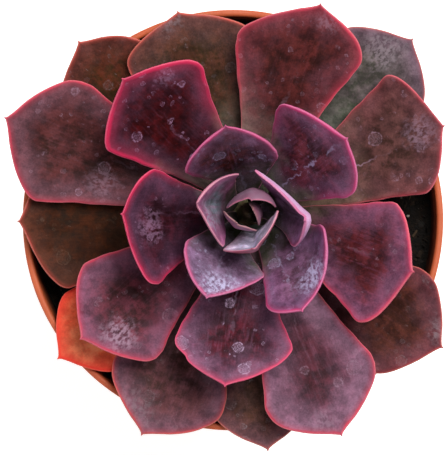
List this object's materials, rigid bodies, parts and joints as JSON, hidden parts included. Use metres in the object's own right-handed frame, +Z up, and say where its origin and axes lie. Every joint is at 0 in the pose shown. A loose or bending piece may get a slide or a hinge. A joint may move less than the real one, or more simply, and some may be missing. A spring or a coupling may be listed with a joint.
{
  "type": "potted echeveria",
  "caption": "Echeveria rosette of plum-red fleshy leaves on a short stem, standing in dark soil in a round terracotta-coloured nursery pot.",
  "frame": {"origin": "middle of the pot's flat underside, on the pot's axis", "axes": "+Z up along the pot's axis; +Y is the picture's upward direction seen from straight above, +X its right"},
  "size_m": [0.1245, 0.1264, 0.13],
  "materials": {
    "terracotta_plastic": "moulded orange-brown plastic, satin",
    "potting_soil": "dark damp potting mix with light grit",
    "stem_skin": "greenish brown plant skin",
    "leaf_heart": "blue-green waxy leaf with a pale pink edge",
    "leaf_inner": "lilac waxy leaf with a pink edge and dried water marks",
    "leaf_middle": "maroon fleshy leaf with bloom and a crimson edge",
    "leaf_outer": "olive-brown fleshy leaf with a dull red edge",
    "leaf_withered": "bright red drying leaf"
  },
  "bodies": {
    "root": {"pot": "terracotta_plastic", "soil": "potting_soil", "stem": "stem_skin", "leaf_00": "leaf_heart", "leaf_01": "leaf_heart", "leaf_02": "leaf_heart", "leaf_03": "leaf_heart", "leaf_04": "leaf_heart", "leaf_05": "leaf_inner", "leaf_06": "leaf_inner", "leaf_07": "leaf_inner", "leaf_08": "leaf_inner", "leaf_09": "leaf_middle", "leaf_10": "leaf_middle", "leaf_11": "leaf_middle", "leaf_12": "leaf_middle", "leaf_13": "leaf_middle", "leaf_14": "leaf_middle", "leaf_15": "leaf_middle", "leaf_16": "leaf_middle", "leaf_17": "leaf_middle", "leaf_18": "leaf_outer", "leaf_19": "leaf_outer", "leaf_20": "leaf_outer", "leaf_21": "leaf_outer", "leaf_22": "leaf_outer", "leaf_23": "leaf_outer", "leaf_24": "leaf_outer", "leaf_25": "leaf_outer", "leaf_27": "leaf_withered"}
  },
  "joints": []
}
